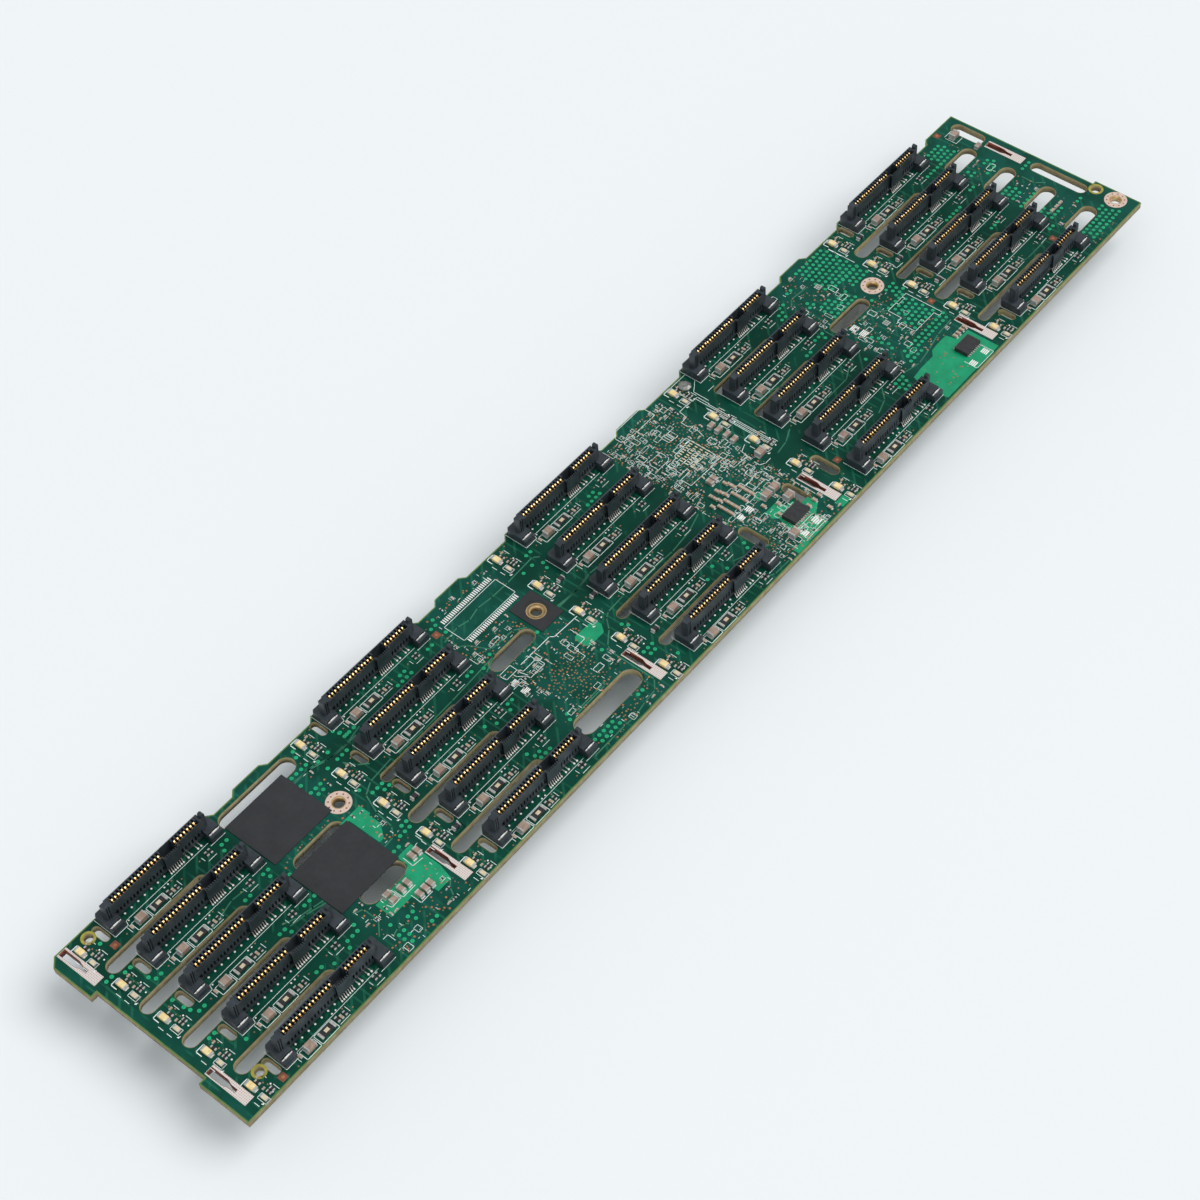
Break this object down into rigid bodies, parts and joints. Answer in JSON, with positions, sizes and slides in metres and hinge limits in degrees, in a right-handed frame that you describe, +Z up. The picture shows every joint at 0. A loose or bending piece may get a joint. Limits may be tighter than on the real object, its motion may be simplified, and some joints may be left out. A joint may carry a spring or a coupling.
{
  "type": "drive backplane board",
  "caption": "Long slotted circuit board with a grid of upright drive sockets on the front and sockets, chips and a guide pin on the rear.",
  "frame": {"origin": "under the middle of the board, on the plane that the rear connectors stand on", "axes": "+X along the board, +Y across it towards the notched edge, +Z up through the front with the drive sockets"},
  "size_m": [0.4386, 0.0774, 0.0267],
  "materials": {
    "board": "satin solder mask",
    "connector_plastic": "moulded",
    "contact_plating": "polished",
    "light_body": "satin",
    "capacitor_body": "matte",
    "insulator": "matte film",
    "chip_body": "moulded",
    "rear_plastic": "moulded",
    "pin_metal": "turned"
  },
  "bodies": {
    "root": {"circuit_board": "board", "drive_connector_1_1": "connector_plastic", "drive_connector_1_2": "connector_plastic", "drive_connector_1_3": "connector_plastic", "drive_connector_1_4": "connector_plastic", "drive_connector_1_5": "connector_plastic", "drive_connector_2_1": "connector_plastic", "drive_connector_2_2": "connector_plastic", "drive_connector_2_3": "connector_plastic", "drive_connector_2_4": "connector_plastic", "drive_connector_2_5": "connector_plastic", "drive_connector_3_1": "connector_plastic", "drive_connector_3_2": "connector_plastic", "drive_connector_3_3": "connector_plastic", "drive_connector_3_4": "connector_plastic", "drive_connector_3_5": "connector_plastic", "drive_connector_4_1": "connector_plastic", "drive_connector_4_2": "connector_plastic", "drive_connector_4_3": "connector_plastic", "drive_connector_4_4": "connector_plastic", "drive_connector_4_5": "connector_plastic", "drive_connector_5_1": "connector_plastic", "drive_connector_5_2": "connector_plastic", "drive_connector_5_3": "connector_plastic", "drive_connector_5_4": "connector_plastic", "drive_connector_5_5": "connector_plastic", "drive_contacts_1": "contact_plating", "drive_contacts_2": "contact_plating", "drive_contacts_3": "contact_plating", "drive_contacts_4": "contact_plating", "drive_contacts_5": "contact_plating", "status_lights": "light_body", "bulk_capacitors": "capacitor_body", "upper_insulating_sheet": "insulator", "lower_insulating_sheet": "insulator", "insulating_patch": "insulator", "driver_chip_1": "chip_body", "data_connector_1": "rear_plastic", "power_connector_1": "rear_plastic", "switch_chip_1": "chip_body", "driver_chip_2": "chip_body", "data_connector_2": "rear_plastic", "power_connector_2": "rear_plastic", "switch_chip_2": "chip_body", "guide_pin": "pin_metal"}
  },
  "joints": []
}
